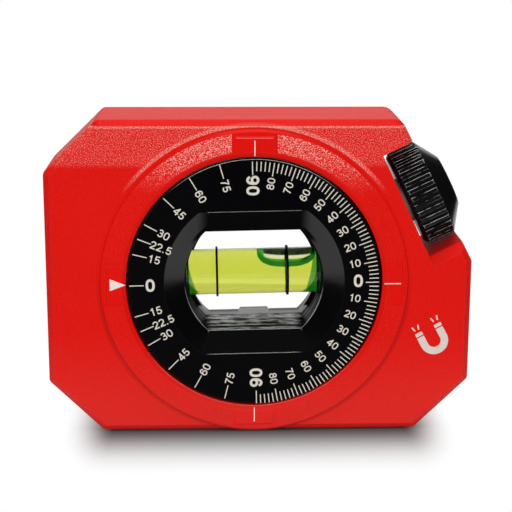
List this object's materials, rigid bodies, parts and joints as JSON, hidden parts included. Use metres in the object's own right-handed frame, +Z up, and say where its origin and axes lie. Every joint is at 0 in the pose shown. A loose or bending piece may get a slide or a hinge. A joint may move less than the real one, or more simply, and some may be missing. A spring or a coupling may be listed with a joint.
{
  "type": "pocket level",
  "caption": "Pocket spirit level: red moulded body with a turning dial, a bubble vial across its window, a lock knob and a magnetic grooved base.",
  "frame": {"origin": "middle of the base, halfway between the crest of the dial ring and the back", "axes": "+X to the right along the base, seen from the front; the dial's face looks along -Y; +Z up"},
  "size_m": [0.095, 0.0242, 0.0712],
  "materials": {
    "red_housing": "fine grained red moulding",
    "black_gloss": "glossy black moulding",
    "black_knob": "glossy black ribbed moulding",
    "black_matte": "matt black",
    "clear_acrylic": "clear polished acrylic",
    "vial_liquid": "yellow-green liquid",
    "white_plastic": "natural nylon",
    "rubber": "black rubber",
    "steel": "zinc plated steel",
    "magnet_plating": "nickel plated magnet",
    "brass": "turned brass"
  },
  "bodies": {
    "body": {"housing": "red_housing", "rear_cover": "red_housing", "cover_screws": "steel", "magnet_left": "magnet_plating", "magnet_right": "magnet_plating", "thread_insert": "brass"},
    "dial": {"dial_front": "black_gloss", "dial_back": "black_gloss", "dial_screws": "steel", "dial_o_ring": "rubber", "dial_glide_ring": "white_plastic", "vial_body": "clear_acrylic", "vial_plug": "clear_acrylic", "vial_liquid": "vial_liquid", "vial_ring_left": "black_matte", "vial_ring_right": "black_matte"},
    "brake": {"brake_pad": "white_plastic"},
    "knob": {"lock_knob": "black_knob", "lock_screw": "steel", "knob_washer": "white_plastic"}
  },
  "joints": [
    {"name": "dial_turn", "type": "hinge", "parent": "body", "child": "dial", "pos_m": [-0.00118, 0.0005, 0.03465], "axis": [0, -1, 0], "continuous": true},
    {"name": "brake_slide", "type": "slide", "parent": "body", "child": "brake", "axis": [0.9026, 0, 0.4305], "range_m": [0, 0.0012]},
    {"name": "knob_turn", "type": "hinge", "parent": "brake", "child": "knob", "pos_m": [0.03352, 0.0005, 0.0512], "axis": [0.9026, 0, 0.4305], "range_deg": [0, 540]}
  ],
  "couplings": [
    {"joint": "brake_slide", "follows": "knob_turn", "m_per_rad": 0.00012732}
  ]
}
